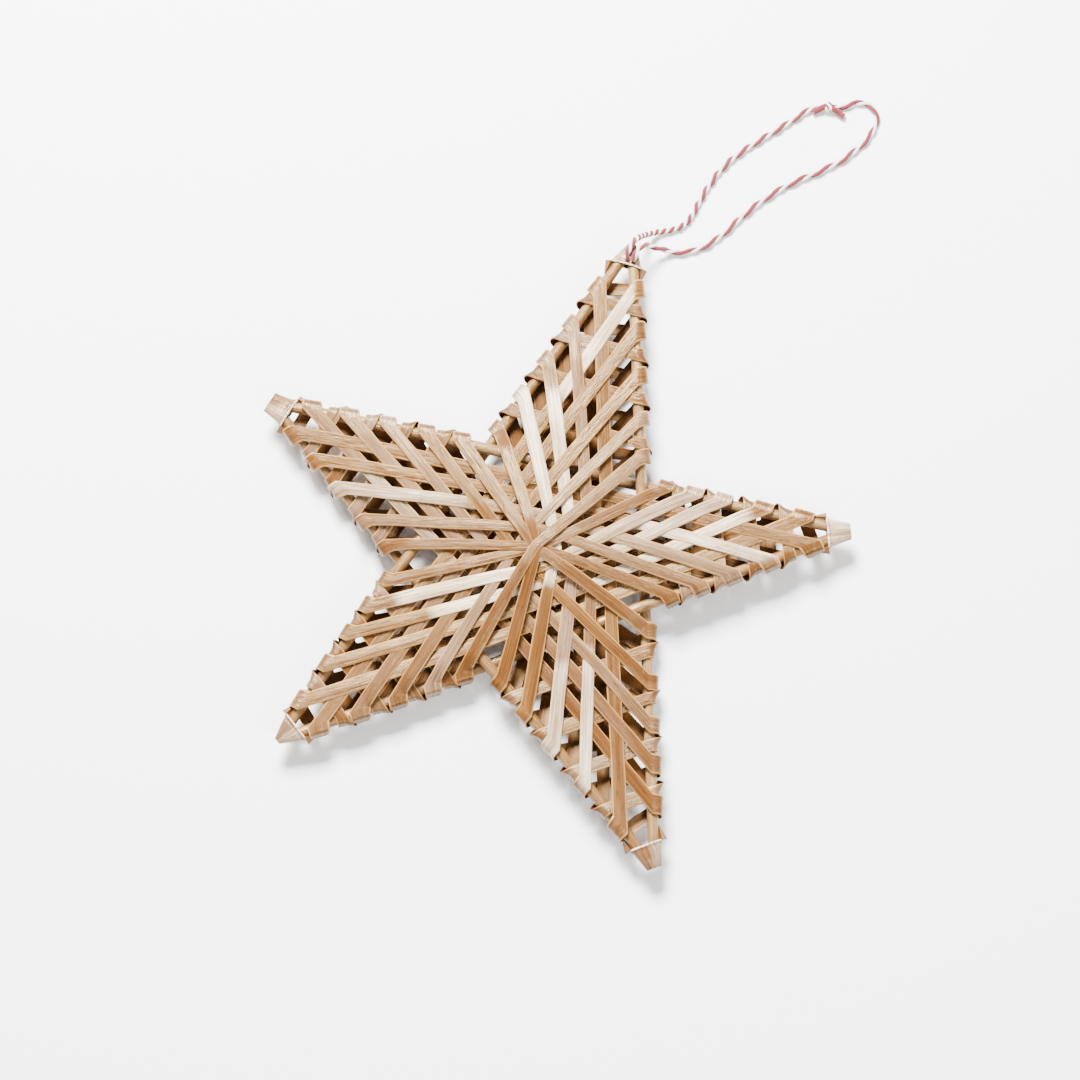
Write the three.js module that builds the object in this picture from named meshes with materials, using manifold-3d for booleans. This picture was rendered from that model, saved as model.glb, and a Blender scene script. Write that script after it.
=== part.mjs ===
import * as THREE from 'three';
import { mergeVertices } from 'three/addons/utils/BufferGeometryUtils.js';
import Module from 'manifold-3d';

// Five-pointed star of whole straws, wound with flattened straw strips, lying on its back.
// Sizes are in millimetres and angles in degrees. The front faces +Z and the top point lies along +Y.

// The usual distance of a tip from the middle of the star
const usualReach = 85.8;

// The points, clockwise from the top: reach as a share of the usual one, and bearing from +X
const points = [
  { name: 'top', share: 1.043, bearing: 89.3 },
  { name: 'right', share: 0.971, bearing: 20.2 },
  { name: 'lower_right', share: 1.035, bearing: -54 },
  { name: 'lower_left', share: 0.985, bearing: -127.6 },
  { name: 'left', share: 0.965, bearing: 165.8 },
];

// Frame straws
const strawDiameter = 3;
const strawSides = 8;
const strawSteps = 8;
const crossingGap = 0.36;

// Flattened straw strips. Each is pulled taut over the pile, which is looked up every sampleStep along it.
const stripWidth = 3.4;
const stripThickness = 0.26;
const stripGap = 0.13;
const foldSteps = 4;
const jointGap = 0.3;
const sampleStep = 0.8;
const stationSpacing = 0.5;
const slack = 0.02;
const mitreReach = 1.5;
const sampledAcross = [-1, -0.5, 0, 0.5, 1];
const hubFlat = 5;

// Front winding. Spots are measured along an edge straw, from the tip to a strip's middle.
const frontStart = 12.4;
const frontLast = 6.4;
const frontShift = 1.6;
const frontPassStep = 4.6;
const frontPassLast = 0.4;

// Back winding, one round less than the front and set between its rounds
const backBetween = 0.56;
const backShift = 1.2;
const backPassStep = 4;
const backPassLast = 4.5;

// How far each front strip lies from the even pitch on its edge straw, round by round from the tip inwards
const strays = {
  top: { left: [3.4, 3.2, 2.4, 1.2, 0], right: [1.3, 1, 1.6, 1.6, 0] },
  right: { left: [1.1, 2.3, 3.6, 2, 0], right: [-0.6, 1.6, 2.6, 1.6, 0] },
  lower_right: { left: [4.2, 2.2, 0, -1.2, 0], right: [1.6, 3.4, 3.8, 2.4, 0] },
  lower_left: { left: [-0.8, 0.8, 1.4, 1.2, 0], right: [0, 2, 2.2, 1.4, 0] },
  left: { left: [-0.6, -1, -0.8, 0.6, 0], right: [-0.6, -0.4, 0.1, 0.5, 0] },
};

// Caps folded over the straw ends at each tip
const capLength = 6.4;
const capWall = 0.35;
const capClearance = 0.15;
const capNoseWidth = 1.8;
const capNoseThickness = 1.2;
const capEar = 0.6;
const capEarLength = 1.1;

// The order in which the five sides of a round are laid, by the point they start from
const layingOrder = [4, 2, 0, 3, 1];
const lastOrder = [3, 1, 4, 2, 0];

// Hanging cord
const cordDiameter = 1.7;
const cordSides = 8;
const cordStep = 4.2;
const cordGap = 0.3;
const cordRise = 0.12;
const knotLength = 4.8;
const knotWidth = 3.4;
const knotHeight = 3.1;
const knotSides = 8;
const knotRings = 6;
const tailLength = 4;
const tailWidth = 1.3;
const tailBearings = [-30, 243];

// The cord's two strands as [x, y] from the tip of the top point, out from its cap to the knot and back
const outwardRoute = [
  [-0.5, -5.1], [-0.4, -3], [0, -0.5], [0.9, 2.1], [2.6, 4.7], [5.1, 7.1], [8.7, 9],
  [11.2, 10.9], [12.8, 13.9], [13.6, 17.7], [14.6, 22.2], [16.1, 27], [18.2, 31.5],
  [20.9, 35.6], [25.2, 40.7], [30.3, 46.4], [34.5, 51.4], [36.9, 53.7],
];
const returnRoute = [
  [44.2, 56.1], [47.2, 58], [49.6, 58.8], [51.9, 58.5], [53.6, 57], [54.5, 54.4], [53.8, 50.2],
  [51.8, 46.2], [48.5, 41.5], [43.1, 36.3], [36.4, 30.7], [30.9, 24.7], [26.5, 18.5],
  [23.1, 12.7], [19.7, 8.1], [15.1, 4.5], [10.1, 2.8], [6.3, 2], [3.5, 0.7], [2.1, -1.3],
  [1.7, -3.2], [1.6, -5.1],
];
const knotPlace = [40.7, 54.9];
const knotBearing = 16;

// How high each strand rides at its points near the cap, from 1 on top of the cap to 0 on the surface below
const strandRise = [1, 0.98, 0.94, 0.7, 0.34, 0.07];

const frontRounds = strays.top.left.length;
const backRounds = frontRounds - 1;
const radians = THREE.MathUtils.degToRad;
const strawRadius = strawDiameter / 2;
const cordRadius = cordDiameter / 2;
const capHeight = strawDiameter + 2 * (capClearance + capWall);
const foldCorner = Math.cos(Math.PI / (2 * foldSteps));
const innerFold = strawRadius / foldCorner + stripGap + stripThickness / 2;
const outerFold = innerFold + stripThickness / foldCorner + 2 * stripGap;

const wasm = await Module();
wasm.setup();

// Where the tips are in plan
const tips = points.map((point) => {
  const bearing = radians(point.bearing);
  const reach = usualReach * point.share;
  return new THREE.Vector2(reach * Math.cos(bearing), reach * Math.sin(bearing));
});

// Points are numbered round the star, so two steps either way lead to the far ends of a point's straws.
const wrap = (index) => (index + points.length) % points.length;

// Where the plan lines a-b and c-d cross
function crossing(a, b, c, d) {
  const along = b.clone().sub(a);
  const other = d.clone().sub(c);
  const share = c.clone().sub(a).cross(other) / along.cross(other);
  return a.clone().addScaledVector(along, share);
}

// Half the angle between the two edge straws that meet at a point
function halfAngle(point) {
  const toRight = tips[wrap(point + 2)].clone().sub(tips[point]);
  const toLeft = tips[wrap(point - 2)].clone().sub(tips[point]);
  return Math.abs(toRight.angleTo(toLeft)) / 2;
}

// How far a frame straw stops short of its point, so that two straws end side by side
const setback = (point) => (strawRadius + crossingGap / 2) / Math.sin(halfAngle(point));

// A frame straw runs from point k to point k + 2, over one neighbour and under the next.
function strawCurve(k) {
  const start = tips[k];
  const end = tips[wrap(k + 2)];
  const direction = end.clone().sub(start).normalize();
  const over = crossing(start, end, tips[wrap(k - 1)], tips[wrap(k + 1)]);
  const under = crossing(start, end, tips[wrap(k + 1)], tips[wrap(k - 2)]);
  const lift = strawRadius + crossingGap / 2;
  const first = start.clone().addScaledVector(direction, setback(k));
  const last = end.clone().addScaledVector(direction, -setback(wrap(k + 2)));
  return new THREE.CatmullRomCurve3([
    new THREE.Vector3(first.x, first.y, 0),
    new THREE.Vector3(over.x, over.y, lift),
    new THREE.Vector3(under.x, under.y, -lift),
    new THREE.Vector3(last.x, last.y, 0),
  ], false, 'centripetal');
}

const strawCurves = points.map((point, k) => strawCurve(k));
const strawLines = strawCurves.map((curve) => curve.getSpacedPoints(strawSteps));

// The straw that edges a point on one side: its number, and the plan ray that its axis follows from the tip
function edgeOf(point, side) {
  const straw = side === 'right' ? point : wrap(point - 2);
  const far = side === 'right' ? wrap(point + 2) : wrap(point - 2);
  const inward = tips[far].clone().sub(tips[point]).normalize();
  const outward = new THREE.Vector2(-inward.y, inward.x);
  if (outward.dot(tips[point].clone().addScaledVector(inward, tips[point].length())) < 0) outward.negate();
  return { straw, tip: tips[point], inward, outward };
}

// A straw's axis height over a place in plan
function strawHeight(straw, place) {
  const line = strawLines[straw];
  const start = new THREE.Vector2(line[0].x, line[0].y);
  const end = new THREE.Vector2(line.at(-1).x, line.at(-1).y);
  const span = end.clone().sub(start);
  const share = THREE.MathUtils.clamp(place.clone().sub(start).dot(span) / span.lengthSq(), 0, 1);
  const step = Math.min(Math.floor(share * strawSteps), strawSteps - 1);
  return THREE.MathUtils.lerp(line[step].z, line[step + 1].z, share * strawSteps - step);
}

// What already lies on the front (+1) and on the back (-1): straight runs with half widths and half heights
const laid = { 1: [], [-1]: [] };

function layRun(side, a, b, halfWidth, halfHeight) {
  laid[side].push({ a, b, halfWidth, halfHeight });
}

// How high, away from the frame, the pile on one side reaches over a place in plan
function pileHeight(side, x, y) {
  let height = -Infinity;
  for (const { a, b, halfWidth, halfHeight } of laid[side]) {
    const dx = b.x - a.x;
    const dy = b.y - a.y;
    const length = Math.hypot(dx, dy);
    const along = ((x - a.x) * dx + (y - a.y) * dy) / length;
    const across = Math.abs((x - a.x) * dy - (y - a.y) * dx) / length;
    const beyond = halfWidth * mitreReach;
    if (along < -beyond || along > length + beyond || across > halfWidth) continue;
    const share = THREE.MathUtils.clamp(along / length, 0, 1);
    height = Math.max(height, side * THREE.MathUtils.lerp(a.z, b.z, share) + halfHeight);
  }
  return height;
}

for (const line of strawLines) {
  for (let step = 0; step < strawSteps; step += 1) {
    layRun(1, line[step], line[step + 1], strawRadius, strawRadius);
    layRun(-1, line[step], line[step + 1], strawRadius, strawRadius);
  }
}

// The taut line from height to height over what it must clear: only the places where it bends are kept
function tautLine(samples) {
  const kept = [];
  for (const sample of samples) {
    while (kept.length > 1) {
      const [before, last] = kept.slice(-2);
      const slope = (sample.height - before.height) / (sample.along - before.along);
      if (last.height > before.height + slope * (last.along - before.along) + slack) break;
      kept.pop();
    }
    kept.push(sample);
  }
  return kept;
}

function heightOn(line, along) {
  const next = Math.max(1, line.findIndex((station) => station.along >= along));
  const share = (along - line[next - 1].along) / (line[next].along - line[next - 1].along);
  return THREE.MathUtils.lerp(line[next - 1].height, line[next].height, share);
}

// The angle at which a taut line rises at a place, taken evenly from before and after it
function riseOn(line, along) {
  const from = Math.max(0, along - stationSpacing / 2);
  const to = Math.min(line.at(-1).along, along + stationSpacing / 2);
  return Math.atan2(heightOn(line, to) - heightOn(line, from), to - from);
}

// Heights, away from the frame, of a flat strip pulled taut over the pile along a plan path
function pullTaut(side, path, startHeight, endHeight) {
  const lengths = path.slice(1).map((place, i) => place.distanceTo(path[i]));
  const total = lengths.reduce((sum, length) => sum + length, 0);
  const reach = stripWidth / 2 + stripGap;
  const samples = [{ along: 0, height: startHeight }];
  let travelled = 0;
  lengths.forEach((length, i) => {
    const direction = path[i + 1].clone().sub(path[i]).normalize();
    const steps = Math.ceil(length / sampleStep);
    for (let step = 1; step <= steps; step += 1) {
      const along = travelled + (length * step) / steps;
      if (along > total - sampleStep / 2) break;
      const place = path[i].clone().addScaledVector(direction, along - travelled);
      let height = -Infinity;
      for (const across of sampledAcross) {
        const x = place.x - direction.y * across * reach;
        const y = place.y + direction.x * across * reach;
        height = Math.max(height, pileHeight(side, x, y));
      }
      if (height > -Infinity) samples.push({ along, height: height + stripGap + stripThickness / 2 });
    }
    travelled += length;
  });
  samples.push({ along: total, height: endHeight });
  return tautLine(samples);
}

// A station of a strip: its middle, the vector to its left edge, and the way its thickness points
const station = (middle, half, normal) => ({ middle, half, normal });

// A station on a taut line: its thickness leans back as the strip rises in its direction.
function tautStation(side, place, height, half, direction, rise) {
  const back = direction.clone().multiplyScalar(-Math.sin(rise));
  const normal = new THREE.Vector3(back.x, back.y, side * Math.cos(rise));
  return station(new THREE.Vector3(place.x, place.y, side * height), half, normal);
}

// Stations of a strip round an edge straw, from the side of its long run to the side of its band.
// The strip's half width along the straw goes from that of the run to that of the band.
// It leaves the straw sooner where the run or the band rises from it.
function foldStations(side, edge, spot, shift, radius, run, band) {
  const firstAngle = Math.PI / 2 - Math.max(0, run.rise);
  const lastAngle = Math.max(0, band.rise) - Math.PI / 2;
  const stations = [];
  for (let step = 0; step <= foldSteps; step += 1) {
    const share = step / foldSteps;
    const angle = THREE.MathUtils.lerp(firstAngle, lastAngle, share);
    const place = edge.tip.clone().addScaledVector(edge.inward, spot - shift * share);
    const normal = new THREE.Vector3(
      edge.outward.x * Math.cos(angle),
      edge.outward.y * Math.cos(angle),
      side * Math.sin(angle),
    );
    const middle = new THREE.Vector3(place.x, place.y, strawHeight(edge.straw, place));
    middle.addScaledVector(normal, radius);
    const half = new THREE.Vector3(edge.inward.x, edge.inward.y, 0);
    half.multiplyScalar(THREE.MathUtils.lerp(run.half, band.half, share));
    stations.push(station(middle, half, normal));
  }
  return stations;
}

// Half the width of a strip where it is cut along an edge straw
const mitredHalf = (direction, edge) => stripWidth / 2 / Math.abs(direction.cross(edge.inward));

// A strip's half width as it turns from lying along the edge straw to lying square to its own direction
function turnedHalf(square, direction, edge, distance) {
  const slant = new THREE.Vector3(edge.inward.x, edge.inward.y, 0);
  slant.multiplyScalar(mitredHalf(direction, edge));
  const reach = (stripWidth / 2) * Math.abs(direction.dot(edge.inward) / direction.cross(edge.inward));
  return slant.lerp(square, Math.min(1, distance / reach));
}

// The level band that crosses a point on the far side of the long runs, from its left to its right straw
function layBand(side, point, leftSpot, rightSpot, shift, radius) {
  const ends = [['left', leftSpot], ['right', rightSpot]].map(([name, spot]) => {
    const edge = edgeOf(point, name);
    const place = edge.tip.clone().addScaledVector(edge.inward, spot - shift);
    return { edge, place, height: side * strawHeight(edge.straw, place) + radius };
  });
  const [left, right] = ends;
  const direction = right.place.clone().sub(left.place).normalize();
  const line = pullTaut(side, [left.place, right.place], left.height, right.height);
  const length = left.place.distanceTo(right.place);
  const inward = new THREE.Vector2(direction.y, -direction.x);
  const at = (along, height) => {
    const place = left.place.clone().addScaledVector(direction, along);
    const square = new THREE.Vector3(inward.x, inward.y, 0).multiplyScalar(stripWidth / 2);
    const near = along < length / 2 ? left.edge : right.edge;
    const half = turnedHalf(square, direction, near, Math.min(along, length - along));
    return tautStation(side, place, height, half, direction, riseOn(line, along));
  };
  const cut = (length - jointGap) / 2;
  const bends = line.slice(1, -1);
  const beforeCut = bends.filter(({ along }) => along < cut - stationSpacing);
  const afterCut = bends.filter(({ along }) => along > length - cut + stationSpacing);
  const leftHalf = beforeCut.map(({ along, height }) => at(along, height));
  leftHalf.push(at(cut, heightOn(line, cut)));
  const rightHalf = afterCut.map(({ along, height }) => at(along, height));
  rightHalf.unshift(at(length - cut, heightOn(line, length - cut)));
  for (let i = 1; i < line.length; i += 1) {
    const a = at(line[i - 1].along, line[i - 1].height).middle;
    const b = at(line[i].along, line[i].height).middle;
    layRun(side, a, b, stripWidth / 2, stripThickness / 2);
  }
  return {
    leftHalf,
    rightHalf,
    left: { half: mitredHalf(direction, left.edge), rise: riseOn(line, 0) },
    right: { half: mitredHalf(direction, right.edge), rise: -riseOn(line, length) },
  };
}

// The long run from a point's right edge to the left edge of the point after next, past the middle
function layRunStations(side, from, to, fromSpot, toSpot, passBy, radius) {
  const start = edgeOf(from, 'right');
  const end = edgeOf(to, 'left');
  const startPlace = start.tip.clone().addScaledVector(start.inward, fromSpot);
  const endPlace = end.tip.clone().addScaledVector(end.inward, toSpot);
  const beside = edgeOf(from, 'left').outward;
  const bend = beside.clone().multiplyScalar(passBy);
  const path = [startPlace, bend, endPlace];
  const startHeight = side * strawHeight(start.straw, startPlace) + radius;
  const endHeight = side * strawHeight(end.straw, endPlace) + radius;
  const first = pullTaut(side, path, startHeight, endHeight);
  const bendAlong = startPlace.distanceTo(bend);
  const total = bendAlong + bend.distanceTo(endPlace);
  const crown = Math.max(...first.map(({ height }) => height));
  const crownAt = first.find(({ height }) => height === crown).along;
  const flatFrom = Math.max(stationSpacing, Math.min(crownAt, bendAlong) - hubFlat / 2);
  const flatTo = Math.min(total - stationSpacing, Math.max(crownAt, bendAlong) + hubFlat / 2);
  const crowned = first.filter(({ along }) => along < flatFrom || along > flatTo);
  crowned.push({ along: flatFrom, height: crown }, { along: flatTo, height: crown });
  crowned.sort((a, b) => a.along - b.along);
  const line = tautLine(crowned);
  const legs = [bend.clone().sub(startPlace).normalize(), endPlace.clone().sub(bend).normalize()];
  const leftOf = (leg) => new THREE.Vector2(-leg.y, leg.x);
  const at = (along, height) => {
    const leg = along <= bendAlong ? 0 : 1;
    const place = leg === 0
      ? startPlace.clone().addScaledVector(legs[0], along)
      : bend.clone().addScaledVector(legs[1], along - bendAlong);
    let left = leftOf(legs[leg]).multiplyScalar(stripWidth / 2);
    if (along === bendAlong) {
      const middle = leftOf(legs[0]).add(leftOf(legs[1])).normalize();
      left = middle.multiplyScalar(stripWidth / 2 / middle.dot(leftOf(legs[0])));
    }
    const square = new THREE.Vector3(left.x, left.y, 0);
    const near = leg === 0 ? start : end;
    const half = turnedHalf(square, legs[leg], near, Math.min(along, total - along));
    return tautStation(side, place, height, half, legs[leg], riseOn(line, along));
  };
  const clear = line.slice(1, -1).filter(({ along }) => Math.abs(along - bendAlong) > stationSpacing);
  clear.push({ along: bendAlong, height: heightOn(line, bendAlong) });
  clear.sort((a, b) => a.along - b.along);
  for (let i = 1; i < line.length; i += 1) {
    const a = at(line[i - 1].along, line[i - 1].height).middle;
    const b = at(line[i].along, line[i].height).middle;
    layRun(side, a, b, stripWidth / 2, stripThickness / 2);
  }
  return {
    stations: clear.map(({ along, height }) => at(along, height)),
    start: { half: mitredHalf(legs[0], start), rise: riseOn(line, 0) },
    end: { half: mitredHalf(legs[1], end), rise: -riseOn(line, total) },
  };
}

// Which of a box's faces, in the order of its groups, is the one towards -Y
const underGroup = 3;

// A strip's under face is split along the same diagonals as its upper face, so that the two stay
// apart where it twists. Each square takes six places in the index.
function matchDiagonals(geometry) {
  const index = geometry.index;
  const under = geometry.groups[underGroup];
  for (let i = under.start; i < under.start + under.count; i += 6) {
    index.setX(i + 2, index.getX(i + 4));
    index.setX(i + 3, index.getX(i));
  }
}

// A strip is a long thin box whose cross-sections are moved to its stations.
function stripGeometry(stations, side) {
  const geometry = new THREE.BoxGeometry(1, 1, 1, 1, 1, stations.length - 1);
  matchDiagonals(geometry);
  geometry.deleteAttribute('normal');
  geometry.deleteAttribute('uv');
  const position = geometry.attributes.position;
  for (let i = 0; i < position.count; i += 1) {
    const index = Math.round((0.5 - position.getZ(i)) * (stations.length - 1));
    const { middle, half, normal } = stations[index];
    const place = middle.clone();
    place.addScaledVector(half, -2 * position.getX(i) * side);
    place.addScaledVector(normal, position.getY(i) * stripThickness);
    position.setXYZ(i, place.x, place.y, place.z);
  }
  return mergeVertices(geometry);
}

const strawMaterial = () => new THREE.MeshStandardMaterial({ color: 0xd9b680, roughness: 0.42 });
const stripMaterial = () => new THREE.MeshStandardMaterial({ color: 0xe2c394, roughness: 0.4 });
const capMaterial = () => new THREE.MeshStandardMaterial({ color: 0xcfa56c, roughness: 0.5 });
const cordMaterial = () => new THREE.MeshStandardMaterial({ color: 0xd98a86, roughness: 0.9 });

function named(name, geometry, material) {
  const mesh = new THREE.Mesh(geometry, material);
  mesh.name = name;
  return mesh;
}

function ring(radius, sides) {
  const shape = new THREE.Shape();
  for (let i = 0; i < sides; i += 1) {
    const angle = (2 * Math.PI * i) / sides;
    const [x, y] = [radius * Math.cos(angle), radius * Math.sin(angle)];
    if (i === 0) shape.moveTo(x, y);
    else shape.lineTo(x, y);
  }
  shape.closePath();
  return shape;
}

function tube(path, steps, radius, sides) {
  const options = { steps, extrudePath: path, bevelEnabled: false };
  return new THREE.ExtrudeGeometry(ring(radius, sides), options);
}

// All strips of one winding. Its long runs lie on one side and its bands on the other. Each strip goes from
// the middle of one band, round a straw, along its run, round another straw and to the middle of a band.
function wind(side, name, rounds, spotOf, shift, passOf, radius) {
  const meshes = [];
  const bands = [];
  for (let round = 0; round < rounds; round += 1) {
    bands.push(points.map((point, k) => (
      layBand(-side, k, spotOf(k, round, 'left'), spotOf(k, round, 'right'), shift, radius)
    )));
  }
  for (let round = 0; round < rounds; round += 1) {
    const order = round === rounds - 1 ? lastOrder : layingOrder;
    for (const from of order) {
      const to = wrap(from - 2);
      const fromSpot = spotOf(from, round, 'right');
      const toSpot = spotOf(to, round, 'left');
      const run = layRunStations(side, from, to, fromSpot, toSpot, passOf(round), radius);
      const fromBand = bands[round][from];
      const toBand = bands[round][to];
      const fromEdge = edgeOf(from, 'right');
      const toEdge = edgeOf(to, 'left');
      const stations = [
        ...fromBand.rightHalf,
        ...foldStations(side, fromEdge, fromSpot, shift, radius, run.start, fromBand.right).reverse(),
        ...run.stations,
        ...foldStations(side, toEdge, toSpot, shift, radius, run.end, toBand.left),
        ...toBand.leftHalf,
      ];
      const label = `${name}_${round + 1}_${points[from].name}`;
      meshes.push(named(label, stripGeometry(stations, side), stripMaterial()));
    }
  }
  return meshes;
}

const star = new THREE.Group();

strawCurves.forEach((curve, k) => {
  const geometry = tube(curve, strawSteps, strawRadius, strawSides);
  star.add(named(`frame_straw_${k + 1}`, geometry, strawMaterial()));
});

// Even spots from near the tip of a point to near the crossing of its edge straws with their neighbours
function evenSpot(point, side, round) {
  const turn = side === 'right' ? 1 : -1;
  const neighbour = wrap(point + turn);
  const far = wrap(point + 2 * turn);
  const other = wrap(point - turn);
  const notch = crossing(tips[point], tips[far], tips[neighbour], tips[other]);
  const pitch = (notch.distanceTo(tips[point]) - frontLast - frontStart) / (frontRounds - 1);
  return frontStart + pitch * round;
}

function frontSpot(point, round, side) {
  return evenSpot(point, side, round) + strays[points[point].name][side][round];
}

// Spots of the back winding lie between the front ones, at the same distance on both edges of a point.
function backSpot(point, round) {
  const between = round + backBetween;
  return (evenSpot(point, 'left', between) + evenSpot(point, 'right', between)) / 2 + backShift;
}

// How far from the middle each round passes: the last round passes nearest
const passing = (rounds, step, last) => (round) => last + step * (rounds - 1 - round);
const backPass = passing(backRounds, backPassStep, backPassLast);
const frontPass = passing(frontRounds, frontPassStep, frontPassLast);

star.add(...wind(-1, 'back_strip', backRounds, backSpot, backShift, backPass, innerFold));
star.add(...wind(1, 'front_strip', frontRounds, frontSpot, frontShift, frontPass, outerFold));

function solidOf(geometry) {
  const bare = geometry.clone();
  bare.deleteAttribute('normal');
  bare.deleteAttribute('uv');
  const merged = mergeVertices(bare);
  return new wasm.Manifold(new wasm.Mesh({
    numProp: 3,
    vertProperties: new Float32Array(merged.attributes.position.array),
    triVerts: new Uint32Array(merged.index.array),
  }));
}

function geometryOf(solid) {
  const mesh = solid.getMesh();
  const geometry = new THREE.BufferGeometry();
  geometry.setAttribute('position', new THREE.BufferAttribute(mesh.vertProperties, 3));
  geometry.setIndex(new THREE.BufferAttribute(mesh.triVerts, 1));
  return geometry;
}

// A flat slab, symmetric about Y and about Z = 0, from [half width, y] pairs listed down one side
function slab(profile, height) {
  const shape = new THREE.Shape();
  profile.forEach(([x, y], i) => (i === 0 ? shape.moveTo(x, y) : shape.lineTo(x, y)));
  [...profile].reverse().forEach(([x, y]) => shape.lineTo(-x, y));
  shape.closePath();
  const geometry = new THREE.ExtrudeGeometry(shape, { depth: height, bevelEnabled: false });
  return geometry.translate(0, 0, -height / 2);
}

// A cap is a flat sleeve over both straw ends, closed and thinned at its nose, flared at its collar.
// It is made with its tip at the origin, pointing along +Y, then turned to its point.
function capGeometry(point) {
  const half = halfAngle(point);
  const pocketTop = setback(point) * Math.cos(half) - strawRadius * Math.sin(half) - capClearance;
  const pocketHalf = (depth) => depth * Math.tan(half) + strawRadius / Math.cos(half) + capClearance;
  const flareAt = capLength - capEarLength;
  const outer = slab([
    [capNoseWidth / 2, 0],
    [pocketHalf(pocketTop) + capWall, -pocketTop],
    [pocketHalf(flareAt) + capWall, -flareAt],
    [pocketHalf(capLength) + capWall + capEar, -capLength],
  ], capHeight);
  const position = outer.attributes.position;
  for (let i = 0; i < position.count; i += 1) {
    const face = Math.sign(position.getZ(i));
    if (position.getY(i) === 0) position.setZ(i, (face * capNoseThickness) / 2);
  }
  const past = capLength + capEarLength;
  const pocket = slab([
    [pocketHalf(pocketTop), -pocketTop],
    [pocketHalf(past), -past],
  ], capHeight - 2 * capWall);
  const geometry = geometryOf(solidOf(outer).subtract(solidOf(pocket)));
  const right = edgeOf(point, 'right').inward;
  const axis = right.clone().add(edgeOf(point, 'left').inward).normalize();
  geometry.rotateZ(Math.atan2(-axis.y, -axis.x) - Math.PI / 2);
  return geometry.translate(tips[point].x, tips[point].y, 0);
}

points.forEach((point, k) => star.add(named(`tip_cap_${point.name}`, capGeometry(k), capMaterial())));

// The star stands on its lowest face, with the middle of its box over the origin.
const box = new THREE.Box3().setFromObject(star);
const middle = box.getCenter(new THREE.Vector3());
const restingHeight = box.min.z + cordRadius + cordRise;
const strandTop = capHeight / 2 + cordGap + cordRadius;

const fromTip = ([x, y]) => tips[0].clone().add(new THREE.Vector2(x, y));
const knotMiddle = fromTip(knotPlace);

// One strand of the cord, lying on the surface and climbing onto the cap at its near end
function strandGeometry(route, end) {
  const places = route.map((pair, i) => {
    const place = fromTip(pair);
    const share = strandRise[i] ?? 0;
    return new THREE.Vector3(place.x, place.y, THREE.MathUtils.lerp(restingHeight, strandTop, share));
  });
  places.push(new THREE.Vector3(end.x, end.y, restingHeight));
  const path = new THREE.CatmullRomCurve3(places, false, 'centripetal');
  return tube(path, Math.round(path.getLength() / cordStep), cordRadius, cordSides);
}

const knotTurn = radians(knotBearing);
const knotEnd = knotLength / 2 + cordGap;
const knotSide = (sign) => new THREE.Vector2(
  knotMiddle.x + sign * knotEnd * Math.cos(knotTurn),
  knotMiddle.y + sign * knotEnd * Math.sin(knotTurn),
);

// The overhand knot is a long rounded lump with the cord's two short tails.
function knotGeometry() {
  const lump = new THREE.SphereGeometry(0.5, knotSides, knotRings);
  lump.rotateX(Math.PI / 2);
  lump.scale(knotLength, knotWidth, knotHeight);
  const lumpRise = knotHeight / 2 - cordRadius;
  lump.rotateZ(knotTurn);
  lump.translate(0, 0, lumpRise);
  const tails = tailBearings.map((bearing) => {
    const turn = radians(bearing);
    const reach = knotWidth / 4 + tailLength;
    const path = new THREE.LineCurve3(
      new THREE.Vector3(0, 0, lumpRise / 2),
      new THREE.Vector3(reach * Math.cos(turn), reach * Math.sin(turn), tailWidth / 2 - cordRadius),
    );
    return solidOf(tube(path, 1, tailWidth / 2, cordSides));
  });
  const knot = tails.reduce((solid, tail) => solid.add(tail), solidOf(lump));
  return geometryOf(knot).translate(knotMiddle.x, knotMiddle.y, restingHeight);
}

const cord = new THREE.Group();
cord.add(named('cord_outward_strand', strandGeometry(outwardRoute, knotSide(-1)), cordMaterial()));
const nearFirst = [...returnRoute].reverse();
cord.add(named('cord_return_strand', strandGeometry(nearFirst, knotSide(1)), cordMaterial()));
cord.add(named('cord_knot', knotGeometry(), cordMaterial()));

const model = new THREE.Group();
model.add(star, cord);
model.position.set(-middle.x, -middle.y, -box.min.z);

export default model;
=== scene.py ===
import math
import random

import bmesh
import bpy
import numpy as np
from mathutils import Matrix, Vector


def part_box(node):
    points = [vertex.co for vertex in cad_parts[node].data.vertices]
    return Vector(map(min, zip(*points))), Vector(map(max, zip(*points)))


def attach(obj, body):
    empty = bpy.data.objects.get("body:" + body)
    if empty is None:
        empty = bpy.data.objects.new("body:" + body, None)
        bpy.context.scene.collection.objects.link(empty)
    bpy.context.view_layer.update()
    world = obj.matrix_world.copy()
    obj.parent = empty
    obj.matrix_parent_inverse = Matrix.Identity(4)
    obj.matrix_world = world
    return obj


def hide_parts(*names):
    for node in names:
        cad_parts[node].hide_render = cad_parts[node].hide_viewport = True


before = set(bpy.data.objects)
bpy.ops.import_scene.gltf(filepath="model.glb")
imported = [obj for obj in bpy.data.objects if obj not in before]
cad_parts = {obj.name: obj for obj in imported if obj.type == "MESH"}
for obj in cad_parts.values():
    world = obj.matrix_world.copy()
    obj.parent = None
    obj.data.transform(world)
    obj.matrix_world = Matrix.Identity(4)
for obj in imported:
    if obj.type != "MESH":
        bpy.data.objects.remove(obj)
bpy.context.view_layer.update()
mm = 0.001


# camera and studio

def addFacing(name, data, place, back):
    # a camera or lamp at a place, with its back turned to the given direction
    thing = bpy.data.objects.new(name, data)
    thing.location = place
    thing.rotation_mode = "QUATERNION"
    thing.rotation_quaternion = (-back).to_track_quat("-Z", "Y")
    bpy.context.scene.collection.objects.link(thing)
    return thing


cameraSettings = {
    "azimuth": 16,
    "elevation": 77,
    "distance": 0.9,
    "target": (0.00067, -0.00478, 0.00767),
    "lens": 113.3,
    "sensor": 36,
}


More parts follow.
